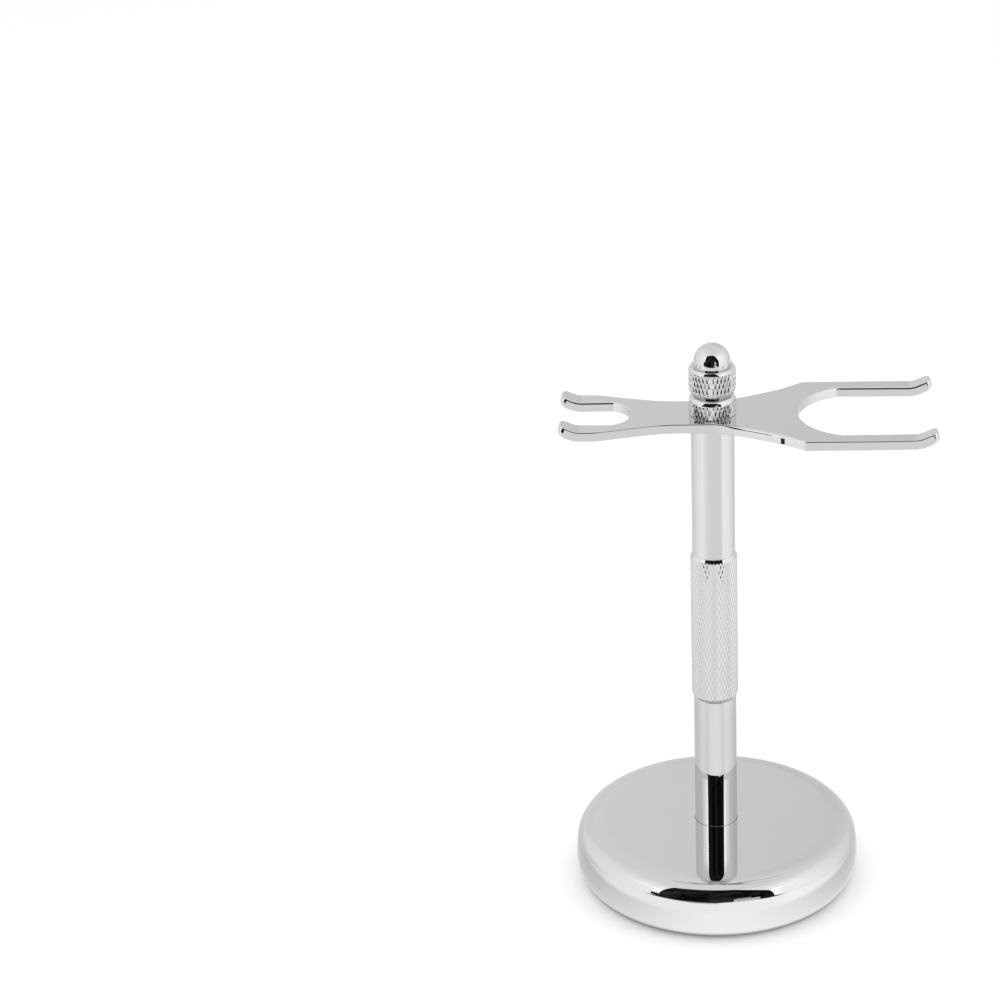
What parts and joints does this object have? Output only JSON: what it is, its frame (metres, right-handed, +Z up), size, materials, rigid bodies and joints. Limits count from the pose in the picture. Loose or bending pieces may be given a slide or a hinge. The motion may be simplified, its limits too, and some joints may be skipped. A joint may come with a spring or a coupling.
{
  "type": "shaving brush and razor stand",
  "caption": "Chrome countertop stand that hangs a shaving brush and a razor from a swivelling double-ended fork plate on a knurled column over a weighted round base.",
  "frame": {"origin": "centre of the anti-slip pad's resting face, on the column axis", "axes": "+Z up along the column, +X towards the wide brush fork, -X towards the narrow razor fork, Y across the forks"},
  "size_m": [0.102, 0.08, 0.1633],
  "materials": {
    "chrome_base": "mirror chrome plate on die-cast zinc",
    "chrome_turned": "mirror chrome plate on turned brass",
    "chrome_knurled": "chrome plate over diamond knurling",
    "chrome_plate": "mirror chrome plate on stamped steel",
    "ballast_iron": "rough cast",
    "pad_rubber": "fine foamed anti-slip surface",
    "zinc_steel": "zinc plated",
    "spring_steel": "hardened, oiled",
    "nylon_white": "natural nylon",
    "fibre_red": "vulcanised fibre"
  },
  "bodies": {
    "stand": {"base_disc": "chrome_base", "base_weight": "ballast_iron", "base_pad": "pad_rubber", "base_screw": "zinc_steel", "base_spring_washer": "spring_steel", "base_flat_washer": "zinc_steel", "foot_gasket": "fibre_red", "lower_post": "chrome_turned", "lower_joint_stud": "zinc_steel", "grip_barrel": "chrome_knurled", "upper_joint_stud": "zinc_steel", "upper_post": "chrome_turned", "clamp_stud": "zinc_steel", "bearing_washer": "nylon_white"},
    "fork": {"fork_plate": "chrome_plate"},
    "clamp_spring": {"clamp_washer": "spring_steel"},
    "lock_nut": {"lock_nut": "chrome_knurled"},
    "dome": {"finial_dome": "chrome_turned"},
    "finial": {"finial_nut": "chrome_knurled"}
  },
  "joints": [
    {"name": "fork_swivel", "type": "hinge", "parent": "stand", "child": "fork", "pos_m": [0, 0, 0.1418], "axis": [0, 0, 1], "continuous": true},
    {"name": "lock_nut_lift", "type": "slide", "parent": "stand", "child": "clamp_spring", "axis": [0, 0, 1], "range_m": [0, 0.002]},
    {"name": "lock_nut_turn", "type": "hinge", "parent": "clamp_spring", "child": "lock_nut", "pos_m": [0, 0, 0.1456], "axis": [0, 0, 1], "range_deg": [0, 721]},
    {"name": "finial_lift", "type": "slide", "parent": "lock_nut", "child": "dome", "axis": [0, 0, 1], "range_m": [0, 0.005]},
    {"name": "finial_turn", "type": "hinge", "parent": "dome", "child": "finial", "pos_m": [0, 0, 0.1536], "axis": [0, 0, 1], "range_deg": [0, 1801]}
  ],
  "couplings": [
    {"joint": "lock_nut_turn", "follows": "lock_nut_lift", "rad_per_m": 6283.2},
    {"joint": "finial_turn", "follows": "finial_lift", "rad_per_m": 6283.2}
  ]
}
